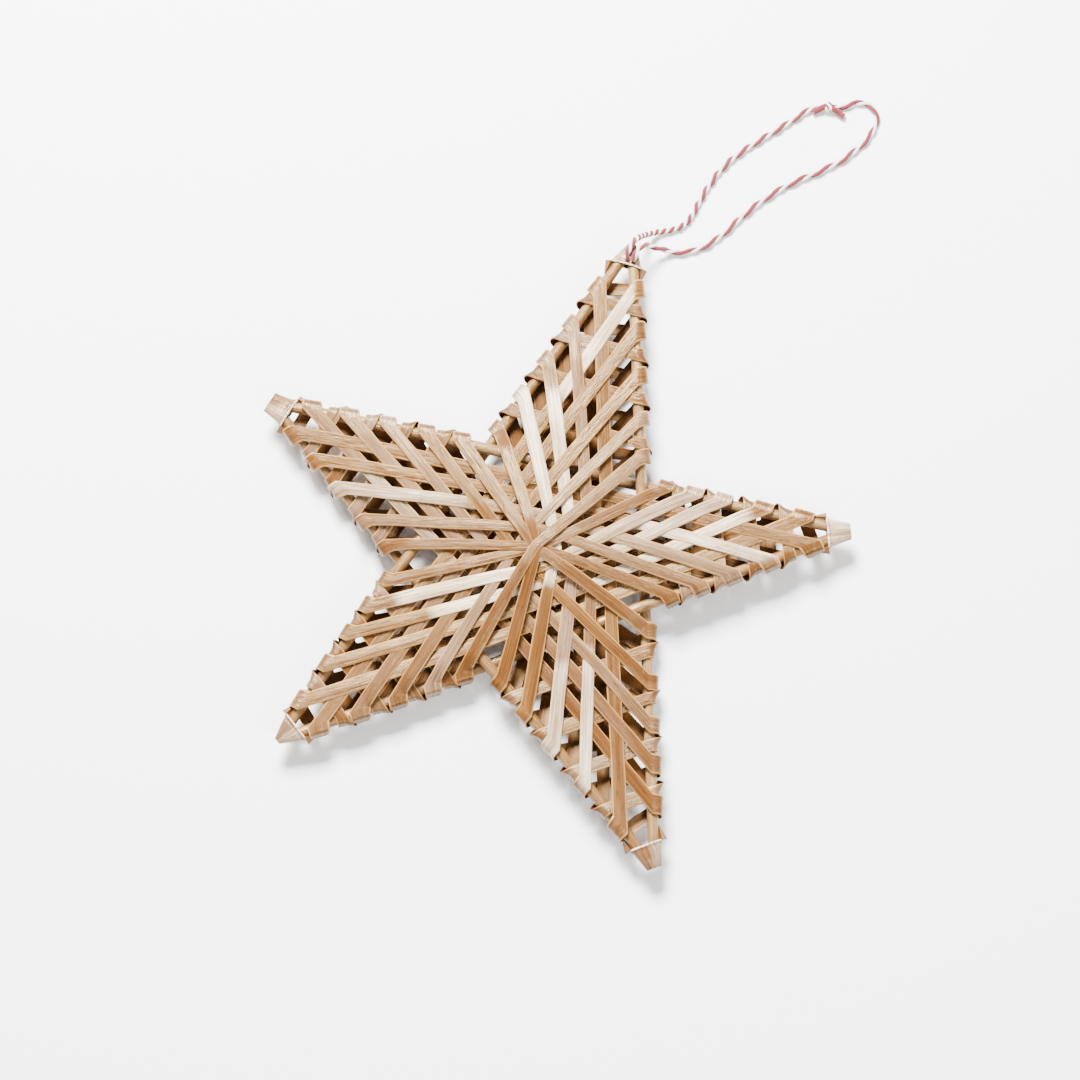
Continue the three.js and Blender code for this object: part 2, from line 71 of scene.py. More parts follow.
def makeCamera(settings):
    azimuth = math.radians(settings["azimuth"])
    elevation = math.radians(settings["elevation"])
    back = Vector((
        math.sin(azimuth) * math.cos(elevation),
        -math.cos(azimuth) * math.cos(elevation),
        math.sin(elevation),
    ))
    data = bpy.data.cameras.new("photoCamera")
    data.lens = settings["lens"]
    data.sensor_width = settings["sensor"]
    place = Vector(settings["target"]) + back * settings["distance"]
    bpy.context.scene.camera = addFacing("photoCamera", data, place, back)


makeCamera(cameraSettings)
print("camera set")

studioSettings = {
    "floorSize": 6,
    "floorColour": (0.95, 0.95, 0.95, 1),
    "floorRoughness": 0.9,
    "worldColour": (1, 1, 1, 1),
    "worldStrength": 0.74,
    "lamps": [
        # name, place, width, watts
        ("keyLamp", (-0.28, 0.46, 0.7), 0.3, 60),
        ("fillLamp", (0.5, -0.4, 0.75), 0.25, 8),
    ],
}


def makeStudio(settings):
    world = bpy.data.worlds.new("studio")
    world.use_nodes = True
    backdrop = world.node_tree.nodes["Background"]
    backdrop.inputs["Color"].default_value = settings["worldColour"]
    backdrop.inputs["Strength"].default_value = settings["worldStrength"]
    bpy.context.scene.world = world
    for name, place, size, watts in settings["lamps"]:
        data = bpy.data.lights.new(name, "AREA")
        data.size = size
        data.energy = watts
        addFacing(name, data, place, Vector(place))
    bm = bmesh.new()
    bmesh.ops.create_grid(bm, x_segments=1, y_segments=1, size=settings["floorSize"] / 2)
    mesh = bpy.data.meshes.new("floor")
    bm.to_mesh(mesh)
    bm.free()
    floor = bpy.data.objects.new("floor", mesh)
    bpy.context.scene.collection.objects.link(floor)
    paper = bpy.data.materials.new("floorPaper")
    paper.use_nodes = True
    shader = paper.node_tree.nodes["Principled BSDF"]
    shader.inputs["Base Color"].default_value = settings["floorColour"]
    shader.inputs["Roughness"].default_value = settings["floorRoughness"]
    mesh.materials.append(paper)


makeStudio(studioSettings)
print("studio set")


# shared shape helpers

curvePieces = 40
weldDistance = 1e-8


def smoothCurve(points, count):
    # evenly spaced places on a centripetal curve through the points
    points = [Vector(p) for p in points]
    line = [points[0] * 2 - points[1], *points, points[-1] * 2 - points[-2]]
    dense = [points[0]]
    for i in range(1, len(line) - 2):
        p0, p1, p2, p3 = line[i - 1:i + 3]
        d0, d1, d2 = (math.sqrt((b - a).length) for a, b in ((p0, p1), (p1, p2), (p2, p3)))
        leave = ((p1 - p0) / d0 - (p2 - p0) / (d0 + d1) + (p2 - p1) / d1) * d1
        arrive = ((p2 - p1) / d1 - (p3 - p1) / (d1 + d2) + (p3 - p2) / d2) * d1
        bendA = (p2 - p1) * 3 - leave * 2 - arrive
        bendB = (p1 - p2) * 2 + leave + arrive
        for step in range(1, curvePieces + 1):
            t = step / curvePieces
            dense.append(p1 + leave * t + bendA * t ** 2 + bendB * t ** 3)
    steps = [(b - a).length for a, b in zip(dense, dense[1:])]
    alongs = np.concatenate([[0], np.cumsum(steps)])
    wanted = np.linspace(0, alongs[-1], count + 1)
    axes = [np.interp(wanted, alongs, [p[axis] for p in dense]) for axis in range(3)]
    return [Vector(place) for place in zip(*axes)]


def turningFrames(line):
    # a side and an upward direction at each place of a line, turning as little as possible
    frames = []
    side = None
    for i, place in enumerate(line):
        ahead = (line[min(i + 1, len(line) - 1)] - line[max(i - 1, 0)]).normalized()
        if side is None:
            side = ahead.cross(Vector((0, 0, 1))).normalized()
        side = (side - ahead * side.dot(ahead)).normalized()
        frames.append((side, side.cross(ahead)))
    return frames


def circleRound(middle, side, up, radius, count):
    turns = [2 * math.pi * j / count for j in range(count)]
    return [middle + (side * math.cos(t) + up * math.sin(t)) * radius for t in turns]


def toFrame(place):
    # from mm about the star's middle to metres in the shared frame
    return (place + starMiddle) * mm


def loft(rings, alongs, acrosses, columnSlots, tones, sharpColumns=()):
    # a grid whose rows lie on the rings; its first and last columns meet, and its ends are closed
    around = len(rings[0])
    rows = len(rings) - 1
    bm = bmesh.new()
    bmesh.ops.create_grid(bm, x_segments=around, y_segments=rows, size=0.5)
    uv = bm.loops.layers.uv.new("grainUV")
    tone = bm.verts.layers.float_color.new("tone")
    spots = {
        v: (round((v.co.x + 0.5) * around), round((v.co.y + 0.5) * rows))
        for v in bm.verts
    }
    for face in bm.faces:
        face.smooth = True
        face.material_index = columnSlots[min(spots[v][0] for v in face.verts)]
        for part in face.loops:
            column, row = spots[part.vert]
            part[uv].uv = (acrosses[column], alongs[row])
    for edge in bm.edges:
        a, b = (spots[v] for v in edge.verts)
        if a[0] == b[0] and a[0] % around in sharpColumns:
            edge.smooth = False
    for vert, (column, row) in spots.items():
        vert.co = toFrame(rings[row][column % around])
        vert[tone] = tones[row][column % around]
    bmesh.ops.remove_doubles(bm, verts=bm.verts, dist=weldDistance)
    openEdges = [edge for edge in bm.edges if edge.is_boundary]
    ends = bmesh.ops.holes_fill(bm, edges=openEdges, sides=0)["faces"]
    for face in ends:
        face.smooth = False
        for edge in face.edges:
            edge.smooth = False
    bmesh.ops.recalc_face_normals(bm, faces=bm.faces)
    return bm


def joinInto(whole, bm):
    # adds one mesh to another and lets go of it
    mesh = bpy.data.meshes.new("joined")
    bm.to_mesh(mesh)
    bm.free()
    whole.from_mesh(mesh)
    bpy.data.meshes.remove(mesh)


def addPiece(name, bm, materials, nodes):
    # a finished mesh becomes a named piece that rides on the star and stands for its solids
    mesh = bpy.data.meshes.new(name)
    bm.to_mesh(mesh)
    bm.free()
    for material in materials:
        mesh.materials.append(material)
    piece = bpy.data.objects.new(name, mesh)
    bpy.context.scene.collection.objects.link(piece)
    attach(piece, "root")
    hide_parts(*nodes)
    return piece


# the star's plan in mm and degrees, its points clockwise from the top;
# each share is a point's reach from the middle by the usual one

starPlan = {
    "names": ["top", "right", "lower_right", "lower_left", "left"],
    "usualReach": 85.8,
    "shares": [1.043, 0.971, 1.035, 0.985, 0.965],
    "bearings": [89.3, 20.2, -54, -127.6, 165.8],
    "strawRadius": 1.5,
    "strawSteps": 8,
    "crossingGap": 0.36,
}


def onCompass(bearing, reach):
    turn = math.radians(bearing)
    return Vector((reach * math.cos(turn), reach * math.sin(turn)))


tips = [
    onCompass(bearing, starPlan["usualReach"] * share)
    for share, bearing in zip(starPlan["shares"], starPlan["bearings"])
]
pointNumbers = range(len(tips))


def wrap(index):
    return index % len(tips)


def crossing(a, b, c, d):
    # where the plan lines a-b and c-d cross
    along, other = b - a, d - c
    between = c - a
    spread = along.x * other.y - along.y * other.x
    return a + along * ((between.x * other.y - between.y * other.x) / spread)


def halfAngle(point):
    # half the angle between the two straws that edge a point
    toRight = tips[wrap(point + 2)] - tips[point]
    toLeft = tips[wrap(point - 2)] - tips[point]
    return toRight.angle(toLeft) / 2


def setback(point):
    # how far the straws' ends stay from the tip, where they would otherwise meet
    return (starPlan["strawRadius"] + starPlan["crossingGap"] / 2) / math.sin(halfAngle(point))


def strawPoints(k):
    # a frame straw runs from point k to the next but one, over one neighbour and under another
    start, end = tips[k], tips[wrap(k + 2)]
    direction = (end - start).normalized()
    over = crossing(start, end, tips[wrap(k - 1)], tips[wrap(k + 1)])
    under = crossing(start, end, tips[wrap(k + 1)], tips[wrap(k + 3)])
    lift = starPlan["strawRadius"] + starPlan["crossingGap"] / 2
    first = start + direction * setback(k)
    last = end - direction * setback(wrap(k + 2))
    return [(*first, 0), (*over, lift), (*under, -lift), (*last, 0)]


strawLines = [smoothCurve(strawPoints(k), starPlan["strawSteps"]) for k in pointNumbers]


def findMiddle():
    # the star's middle in the frame, from where the first frame straw lies
    low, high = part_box("frame_straw_1")
    line = strawLines[0]
    heights = [p.z for p in line]
    own = Vector((
        (line[0].x + line[-1].x) / 2,
        (line[0].y + line[-1].y) / 2,
        (min(heights) + max(heights)) / 2,
    ))
    return (low + high) / 2 / mm - own


starMiddle = findMiddle()
print("star middle at", [round(value, 3) for value in starMiddle])


# finishes

bumpDepth = 0.0001


def newFinish(name):
    material = bpy.data.materials.new(name)
    material.use_nodes = True
    tree = material.node_tree
    return material, tree.nodes, tree.links, tree.nodes["Principled BSDF"]


def mixColours(nodes, links, share, first, second, mode="MIX"):
    mix = nodes.new("ShaderNodeMix")
    mix.data_type = "RGBA"
    mix.blend_type = mode
    for socket, value in ((mix.inputs[0], share), (mix.inputs[6], first), (mix.inputs[7], second)):
        if isinstance(value, bpy.types.NodeSocket):
            links.new(value, socket)
        else:
            socket.default_value = value
    return mix.outputs[2]


def scaleValue(nodes, links, value, factor):
    scaled = nodes.new("ShaderNodeMath")
    scaled.operation = "MULTIPLY"
    scaled.inputs[1].default_value = factor
    links.new(value, scaled.inputs[0])
    return scaled.outputs[0]


def addBump(nodes, links, shader, height, strength):
    bump = nodes.new("ShaderNodeBump")
    bump.inputs["Strength"].default_value = strength
    bump.inputs["Distance"].default_value = bumpDepth
    links.new(height, bump.inputs["Height"])
    links.new(bump.outputs[0], shader.inputs["Normal"])


grainSettings = {
    "seedSpread": (61, 37, 13),
    # stretch across and along the straw, detail, roughness, and the range that is sharpened
    "layers": {
        "Streak": ((2.6, 0.06, 1), 4, 0.65, (0.34, 0.66)),
        "Blotch": ((0.3, 0.045, 1), 3, 0.55, (0.38, 0.62)),
        "Fleck": ((1.8, 0.45, 1), 2, 0.5, (0.6, 0.74)),
        "Relief": ((3.4, 0.04, 1), 3, 0.6, (0.3, 0.7)),
    },
}


def makeStrawGrain(settings):
    # lengthwise straw grain from a UV map in mm: across, along; a seed moves it on for each piece
    group = bpy.data.node_groups.new("strawGrain", "ShaderNodeTree")
    for name, kind in (("Along", "NodeSocketVector"), ("Seed", "NodeSocketFloat")):
        group.interface.new_socket(name, in_out="INPUT", socket_type=kind)
    for name in settings["layers"]:
        group.interface.new_socket(name, in_out="OUTPUT", socket_type="NodeSocketFloat")
    nodes, links = group.nodes, group.links
    source = nodes.new("NodeGroupInput")
    result = nodes.new("NodeGroupOutput")
    spread = nodes.new("ShaderNodeVectorMath")
    spread.operation = "SCALE"
    spread.inputs[0].default_value = settings["seedSpread"]
    links.new(source.outputs["Seed"], spread.inputs["Scale"])
    for name, (scale, detail, roughness, (low, high)) in settings["layers"].items():
        stretch = nodes.new("ShaderNodeVectorMath")
        stretch.operation = "MULTIPLY_ADD"
        stretch.inputs[1].default_value = scale
        links.new(source.outputs["Along"], stretch.inputs[0])
        links.new(spread.outputs[0], stretch.inputs[2])
        noise = nodes.new("ShaderNodeTexNoise")
        noise.inputs["Scale"].default_value = 1
        noise.inputs["Detail"].default_value = detail
        noise.inputs["Roughness"].default_value = roughness
        links.new(stretch.outputs[0], noise.inputs["Vector"])
        sharpen = nodes.new("ShaderNodeMapRange")
        sharpen.inputs["From Min"].default_value = low
        sharpen.inputs["From Max"].default_value = high
        links.new(noise.outputs["Fac"], sharpen.inputs["Value"])
        links.new(sharpen.outputs[0], result.inputs[name])
    return group


strawGrain = makeStrawGrain(grainSettings)


def makeStrawFinish(name, settings):
    # straw that goes from honey to pale by its tone: paleness in red, seed in green, painted shade
    # in blue
    material, nodes, links, shader = newFinish(name)
    uv = nodes.new("ShaderNodeUVMap")
    uv.uv_map = "grainUV"
    tone = nodes.new("ShaderNodeAttribute")
    tone.attribute_name = "tone"
    parts = nodes.new("ShaderNodeSeparateColor")
    links.new(tone.outputs["Color"], parts.inputs[0])
    grain = nodes.new("ShaderNodeGroup")
    grain.node_tree = strawGrain
    links.new(uv.outputs[0], grain.inputs["Along"])
    links.new(parts.outputs[1], grain.inputs["Seed"])
    ripe = mixColours(nodes, links, grain.outputs["Blotch"], settings["honey"], settings["gold"])
    ripe = mixColours(nodes, links, parts.outputs[1], ripe, settings["warm"])
    pale = mixColours(nodes, links, grain.outputs["Blotch"], settings["pale"], settings["paleGrey"])
    paleness = nodes.new("ShaderNodeMath")
    paleness.operation = "MULTIPLY_ADD"
    paleness.use_clamp = True
    paleness.inputs[1].default_value = settings["streakPale"]
    links.new(grain.outputs["Relief"], paleness.inputs[0])
    links.new(parts.outputs[0], paleness.inputs[2])
    base = mixColours(nodes, links, paleness.outputs[0], ripe, pale)
    lines = scaleValue(nodes, links, grain.outputs["Streak"], settings["lineShare"])
    base = mixColours(nodes, links, lines, base, settings["line"], "MULTIPLY")
    flecks = scaleValue(nodes, links, grain.outputs["Fleck"], settings["fleckShare"])
    base = mixColours(nodes, links, flecks, base, settings["fleck"], "MULTIPLY")
    # painted shade: the blue tone darkens the straw towards the fold colour at folds, ears and cap
    # hollows
    base = mixColours(nodes, links, parts.outputs[2], base, settings["fold"], "MULTIPLY")
    links.new(base, shader.inputs["Base Color"])
    gloss = nodes.new("ShaderNodeMapRange")
    gloss.inputs["To Min"].default_value = settings["roughness"][0]
    gloss.inputs["To Max"].default_value = settings["roughness"][1]
    links.new(grain.outputs["Streak"], gloss.inputs["Value"])
    links.new(gloss.outputs[0], shader.inputs["Roughness"])
    shader.inputs["Specular Tint"].default_value = strawGlint
    addBump(nodes, links, shader, grain.outputs["Relief"], settings["relief"])
    return material


strawGlint = (1, 0.80, 0.46, 1)
# each finish's fold colour is painted shade, multiplied in as the tone's blue rises
strawFinishes = {
    "skin": {
        "honey": (0.200, 0.084, 0.010, 1), "gold": (0.125, 0.045, 0.004, 1),
        "warm": (0.125, 0.043, 0.004, 1),
        "pale": (0.93, 0.85, 0.72, 1), "paleGrey": (0.60, 0.49, 0.34, 1), "streakPale": 0.04,
        "line": (0.36, 0.20, 0.08, 1), "lineShare": 0.9,
        "fleck": (0.30, 0.17, 0.08, 1), "fleckShare": 0.5,
        "fold": (0.22, 0.10, 0.035, 1), "roughness": (0.13, 0.32), "relief": 1,
    },
    # painted shade: the inside is much darker and browner than the straw's own pale inside, for the
    # shaded deep layers and gaps
    "inside": {
        "honey": (0.150, 0.052, 0.007, 1), "gold": (0.110, 0.034, 0.004, 1),
        "warm": (0.095, 0.027, 0.003, 1),
        "pale": (0.24, 0.11, 0.022, 1), "paleGrey": (0.18, 0.08, 0.016, 1), "streakPale": 0.1,
        "line": (0.55, 0.38, 0.25, 1), "lineShare": 0.6,
        "fleck": (0.35, 0.2, 0.1, 1), "fleckShare": 0.3,
        "fold": (0.45, 0.24, 0.12, 1), "roughness": (0.3, 0.5), "relief": 0.6,
    },
    # painted highlight: the rims are painted paler than the skin, for the light their rounded edges
    # catch
    "edge": {
        "honey": (0.42, 0.24, 0.07, 1), "gold": (0.35, 0.18, 0.045, 1),
        "warm": (0.32, 0.15, 0.035, 1),
        "pale": (0.72, 0.60, 0.42, 1), "paleGrey": (0.60, 0.48, 0.32, 1), "streakPale": 0.1,
        "line": (0.7, 0.5, 0.34, 1), "lineShare": 0.6,
        "fleck": (0.5, 0.34, 0.2, 1), "fleckShare": 0.3,
        "fold": (0.3, 0.15, 0.06, 1), "roughness": (0.3, 0.45), "relief": 0.3,
    },
    "rod": {
        "honey": (0.23, 0.10, 0.013, 1), "gold": (0.15, 0.058, 0.007, 1),
        "warm": (0.13, 0.045, 0.005, 1),
        "pale": (0.58, 0.44, 0.25, 1), "paleGrey": (0.42, 0.30, 0.16, 1), "streakPale": 0.1,
        "line": (0.42, 0.27, 0.13, 1), "lineShare": 0.85,
        "fleck": (0.30, 0.17, 0.08, 1), "fleckShare": 0.45,
        "fold": (0.3, 0.14, 0.06, 1), "roughness": (0.12, 0.28), "relief": 0.7,
    },
}
strawSkin = makeStrawFinish("strawSkin", strawFinishes["skin"])
strawShadedInside = makeStrawFinish("strawShadedInside", strawFinishes["inside"])
strawEdgeHighlight = makeStrawFinish("strawEdgeHighlight", strawFinishes["edge"])
strawRod = makeStrawFinish("strawRod", strawFinishes["rod"])


twineFinish = {
    "red": [(0.19, 0.004, 0.009, 1), (0.09, 0.001, 0.004, 1)],
    "white": [(0.86, 0.8, 0.78, 1), (0.62, 0.54, 0.53, 1)], "fibreSlant": 0.6,
    "fibreStretch": (6, 0.9, 1), "fibreScale": 1.6,
    "fibreDetail": 3, "roughness": 0.85, "sheen": 0.3, "relief": 0.6,
}


def makeTwineFinish(name, settings, colours):
    # soft cotton: fine slanting fibres and a fuzzy sheen
    material, nodes, links, shader = newFinish(name)
    uv = nodes.new("ShaderNodeUVMap")
    uv.uv_map = "grainUV"
    turn = nodes.new("ShaderNodeMapping")
    turn.inputs["Rotation"].default_value = (0, 0, settings["fibreSlant"])
    turn.inputs["Scale"].default_value = settings["fibreStretch"]
    links.new(uv.outputs[0], turn.inputs[0])
    fibres = nodes.new("ShaderNodeTexNoise")
    fibres.inputs["Scale"].default_value = settings["fibreScale"]
    fibres.inputs["Detail"].default_value = settings["fibreDetail"]
    links.new(turn.outputs[0], fibres.inputs["Vector"])
    base = mixColours(nodes, links, fibres.outputs["Fac"], *colours)
    links.new(base, shader.inputs["Base Color"])
    shader.inputs["Roughness"].default_value = settings["roughness"]
    shader.inputs["Sheen Weight"].default_value = settings["sheen"]
    addBump(nodes, links, shader, fibres.outputs["Fac"], settings["relief"])
    return material


twineRed = makeTwineFinish("twineRed", twineFinish, twineFinish["red"])
twineWhite = makeTwineFinish("twineWhite", twineFinish, twineFinish["white"])
print("finishes ready")


# hanging cord: two-ply twine from the top cap through its knot and back, in mm from the top tip

cordSettings = {
    "diameter": 1.7,
    "plySides": 8,
    "plyOffset": 0.36,
    "plyRadii": [0.57, 0.42],
    "plyAcross": 0.34,
    # length travelled and pitch there
    "pitches": [
        (0, 5), (7, 4.5), (9, 2), (20, 2.2), (28, 3.4), (36, 5.2), (60, 6.2), (90, 8), (150, 7.4),
    ],
    "step": 0.45,
    "roughSteps": 400,
    "rise": 0.12,
    "topHeight": 3.15,
    "tuckHeight": 2.2,
    "strandRise": [1, 0.98, 0.94, 0.7, 0.34, 0.07],
    "outward": [
        (-0.5, -5.1), (-0.4, -3), (0, -0.5), (0.9, 2.1), (2.6, 4.7), (5.1, 7.1), (8.7, 9),
        (11.2, 10.9), (12.8, 13.9), (13.6, 17.7), (14.6, 22.2), (16.1, 27), (18.2, 31.5),
        (20.9, 35.6), (25.2, 40.7), (30.3, 46.4), (34.5, 51.4), (36.9, 53.7),
    ],
    "back": [
        (44.2, 56.1), (47.2, 58), (49.6, 58.8), (51.9, 58.5), (53.6, 57), (54.5, 54.4), (53.8, 50.2),
        (51.8, 46.2), (48.5, 41.5), (43.1, 36.3), (36.4, 30.7), (30.9, 24.7), (26.5, 18.5),
        (23.1, 12.7), (19.7, 8.1), (15.1, 4.5), (10.1, 2.8), (6.3, 2), (3.5, 0.7), (2.1, -1.3),
        (1.7, -3.2), (1.6, -5.1),
    ],
    "knotPlace": (40.7, 54.9),
    "knotBearing": 26,
    "knotRadius": 0.75,
    "knotLength": 1.5,
    "knotLift": 0.7,
    "knotTurns": 1.5,
    "knotPoints": 10,
    "knotSteps": 30,
    "knotPlies": {"plyRadii": [0.3, 0.62], "plyOffset": 0.3},
    "tailBearings": [-12, 230],
    "tailLength": 4,
    "tailRise": 0.1,
    "tailBend": 0.4,
    "tailSteps": 9,
    "tailPlies": {"plyRadii": [0.86, 0.3], "plyOffset": 0.2},
}


def plyRings(line, radius, offset, sides, pitchAt, start):
    # rings of one ply, which winds round a line with a pitch that depends on how far along it is
    frames = turningFrames(line)
    travelled = 0
    turn = start
    middles = []
    for i, place in enumerate(line):
        if i:
            gone = (place - line[i - 1]).length
            travelled += gone
            turn += 2 * math.pi * gone / pitchAt(travelled)
        side, up = frames[i]
        middles.append(place + (side * math.cos(turn) + up * math.sin(turn)) * offset)
    return [
        circleRound(middle, side, up, radius, sides)
        for middle, (side, up) in zip(middles, turningFrames(middles))
    ]


def twineMesh(line, pitchAt, settings):
    # a red and a white ply round a line, as one mesh
    whole = bmesh.new()
    sides = settings["plySides"]
    acrosses = [j * settings["plyAcross"] for j in range(sides + 1)]
    for ply, radius in enumerate(settings["plyRadii"]):
        rings = plyRings(line, radius, settings["plyOffset"], sides, pitchAt, ply * math.pi)
        alongs = [i * settings["step"] for i in range(len(rings))]
        tones = [[(0, 0, 0, 1)] * sides] * len(rings)
        joinInto(whole, loft(rings, alongs, acrosses, [ply] * sides, tones))
    return whole


def makeCord(settings):
    topTip = Vector((*tips[0], 0))
    floorHeight = -starMiddle.z + settings["diameter"] / 2 + settings["rise"]
    rises = settings["strandRise"]
    strands = []
    for route in (settings["outward"], settings["back"][::-1]):
        places = []
        for i, (x, y) in enumerate(route):
            share = rises[i] if i < len(rises) else 0
            height = floorHeight + (settings["topHeight"] - floorHeight) * share
            places.append(topTip + Vector((x, y, settings["tuckHeight"] if i == 0 else height)))
        strands.append(places)
    knotMiddle = topTip + Vector((*settings["knotPlace"], floorHeight))
    path = [*strands[0], knotMiddle, *strands[1][::-1]]
    rough = smoothCurve(path, settings["roughSteps"])
    length = sum((b - a).length for a, b in zip(rough, rough[1:]))
    line = smoothCurve(path, round(length / settings["step"]))

    def cordPitch(travelled):
        return np.interp(travelled, *zip(*settings["pitches"]))

    cord = addPiece(
        "hanging_twine", twineMesh(line, cordPitch, settings), [twineRed, twineWhite],
        ["cord_outward_strand", "cord_return_strand"],
    )
    # the knot: a short coil round the cord, and the cord's two cut ends
    turn = math.radians(settings["knotBearing"])
    axis = Vector((math.cos(turn), math.sin(turn), 0))
    side = Vector((-axis.y, axis.x, 0))
    middle = knotMiddle + Vector((0, 0, settings["knotLift"]))
    radius = settings["knotRadius"]
    coil = []
    for i in range(settings["knotPoints"] + 1):
        share = i / settings["knotPoints"]
        angle = 2 * math.pi * settings["knotTurns"] * share
        coil.append(
            middle + axis * settings["knotLength"] * (share - 0.5)
            + side * radius * math.cos(angle) + Vector((0, 0, radius * math.sin(angle)))
        )
    coilLine = smoothCurve(coil, settings["knotSteps"])
    whole = twineMesh(coilLine, cordPitch, {**settings, **settings["knotPlies"]})
    for bearing, near in zip(settings["tailBearings"], (coil[-1], coil[0])):
        away = onCompass(bearing, settings["tailLength"])
        far = near + Vector((away.x, away.y, 0))
        far.z = floorHeight + settings["tailRise"]
        bend = near.lerp(far, settings["tailBend"])
        tailLine = smoothCurve([middle, bend, far], settings["tailSteps"])
        tailSettings = {**settings, **settings["tailPlies"]}
        joinInto(whole, twineMesh(tailLine, cordPitch, tailSettings))
    knot = addPiece("twine_knot", whole, [twineRed, twineWhite], ["cord_knot"])
    print("cord", round(length, 1), "mm long")


makeCord(cordSettings)


# frame straws

rodSettings = {
    "sides": 16, "rows": 60, "nodeSwell": 0.12, "nodeRange": (0.3, 0.7), "nodeSharpness": 90,
    "firstSeed": 40, "grainJitter": 0.02, "paleness": [0.3, 0.08, 0.16, 0.1, 0.25],
}


def makeRod(k, settings):
    line = smoothCurve(strawPoints(k), settings["rows"])
    sides = settings["sides"]
    noise = random.Random(settings["firstSeed"] + k)
    nodeAt = noise.uniform(*settings["nodeRange"])
    rings, tones = [], []
    for i, (place, (side, up)) in enumerate(zip(line, turningFrames(line))):
        fromNode = (i / settings["rows"] - nodeAt) * settings["nodeSharpness"]
        radius = starPlan["strawRadius"] + settings["nodeSwell"] * math.exp(-fromNode ** 2)
        rings.append(circleRound(place, side, up, radius, sides))
        seed = noise.random() * settings["grainJitter"] + k / len(tips)
        tones.append([(settings["paleness"][k], seed, 0, 1)] * sides)
    girth = 2 * math.pi * starPlan["strawRadius"]
    alongs = [(line[0] - place).length for place in line]
    acrosses = [girth * j / sides for j in range(sides + 1)]
    bm = loft(rings, alongs, acrosses, [0] * sides, tones)
    addPiece(f"straw_rod_{k + 1}", bm, [strawRod], [f"frame_straw_{k + 1}"])


for k in pointNumbers:
    makeRod(k, rodSettings)
print("frame straws made")


# winding: how the strips lie, round by round, pulled taut over what is under them

windingSettings = {
    "width": 3.4, "thickness": 0.26, "gap": 0.13, "slack": 0.02,
    "foldCorner": math.cos(math.pi / 8), "sampleStep": 0.8,
    "sampleAcross": (-1, -0.5, 0, 0.5, 1), "mitreReach": 1.5,
    "hubFlat": 5, "stationSpacing": 0.5, "frontStart": 12.4, "frontLast": 6.4,
    "frontShift": 1.6, "frontPassStep": 4.6, "frontPassLast": 0.4, "backBetween": 0.56,
    "backShift": 1.2, "backPassStep": 4, "backPassLast": 4.5, "layingOrder": [4, 2, 0, 3, 1],
    "lastOrder": [3, 1, 4, 2, 0],
    # how far each front round strays from even steps, by point and side
    "strays": [
        {"left": [3.4, 3.2, 2.4, 1.2, 0], "right": [1.3, 1, 1.6, 1.6, 0]},
        {"left": [1.1, 2.3, 3.6, 2, 0], "right": [-0.6, 1.6, 2.6, 1.6, 0]},
        {"left": [4.2, 2.2, 0, -1.2, 0], "right": [1.6, 3.4, 3.8, 2.4, 0]},
        {"left": [-0.8, 0.8, 1.4, 1.2, 0], "right": [0, 2, 2.2, 1.4, 0]},
        {"left": [-0.6, -1, -0.8, 0.6, 0], "right": [-0.6, -0.4, 0.1, 0.5, 0]},
    ],
}
# by side, 1 is the front and -1 the back
stripSettings = {
    "rowStep": 1.4, "leastRows": 3, "foldRows": 12, "crease": 3.4, "cup": 0.44,
    "foldFlatness": 0.5, "clearFloor": 0.02, "ears": {1: 0.35, -1: 1.3},
    "earShade": {1: 0.45, -1: 1}, "shadeBase": 0.35,
    "pinch": 0.22, "pinchReach": 15, "lap": 1.4, "shortLap": 0.4, "shortBand": 8,
    "lapRise": 0.3, "lapSlope": 2.5, "bandEnd": 0.3, "turnReach": 8, "phaseRange": 6.3,
    "wander": 0.22, "wanderRate": 0.09, "smoothing": 5, "leastSmooth": 8, "usualWidth": 1,
    "widthSpread": 0.1, "swells": [(0.025, 1, 0.21), (0.015, 2, 0.53)], "backShadeSeeds": (0.5, 1),
    "basePaleness": [0, 0, 0.02, 0.03, 0.06, 0.12], "palenessDrift": 0.1,
    "spanEdge": 0.02,
}
frontRounds = 5
backRounds = 4
layer = windingSettings["thickness"] / windingSettings["foldCorner"]
innerFold = (
    starPlan["strawRadius"] / windingSettings["foldCorner"]
    + windingSettings["gap"] + windingSettings["thickness"] / 2
)
outerFold = innerFold + layer + 2 * windingSettings["gap"]
laid = {1: [], -1: []}


def layRow(side, a, b, halfWidth, halfHeight):
    laid[side].append((*a, *b, halfWidth, halfHeight))


for line in strawLines:
    for a, b in zip(line, line[1:]):
        for side in laid:
            layRow(side, a, b, starPlan["strawRadius"], starPlan["strawRadius"])


def pileHeights(side, places):
    # how high the pile on one side reaches over places in plan, away from the frame
    rows = np.array(laid[side])
    ax, ay, az, bx, by, bz, halfWidth, halfHeight = rows.T
    dx, dy = bx - ax, by - ay
    length = np.hypot(dx, dy)
    rx = places[:, :1] - ax
    ry = places[:, 1:] - ay
    along = (rx * dx + ry * dy) / length
    across = np.abs(rx * dy - ry * dx) / length
    beyond = halfWidth * windingSettings["mitreReach"]
    under = (along >= -beyond) & (along <= length + beyond) & (across <= halfWidth)
    share = np.clip(along / length, 0, 1)
    heights = side * (az + (bz - az) * share) + halfHeight
    return np.where(under, heights, -np.inf).max(axis=1)


def tautLine(samples):
    # keeps the samples that a taut strip touches; each is a length along and a height
    kept = []
    for sample in samples:
        while len(kept) > 1:
            before, last = kept[-2], kept[-1]
            slope = (sample[1] - before[1]) / (sample[0] - before[0])
            if last[1] > before[1] + slope * (last[0] - before[0]) + windingSettings["slack"]:
                break
            kept.pop()
        kept.append(sample)
    return kept


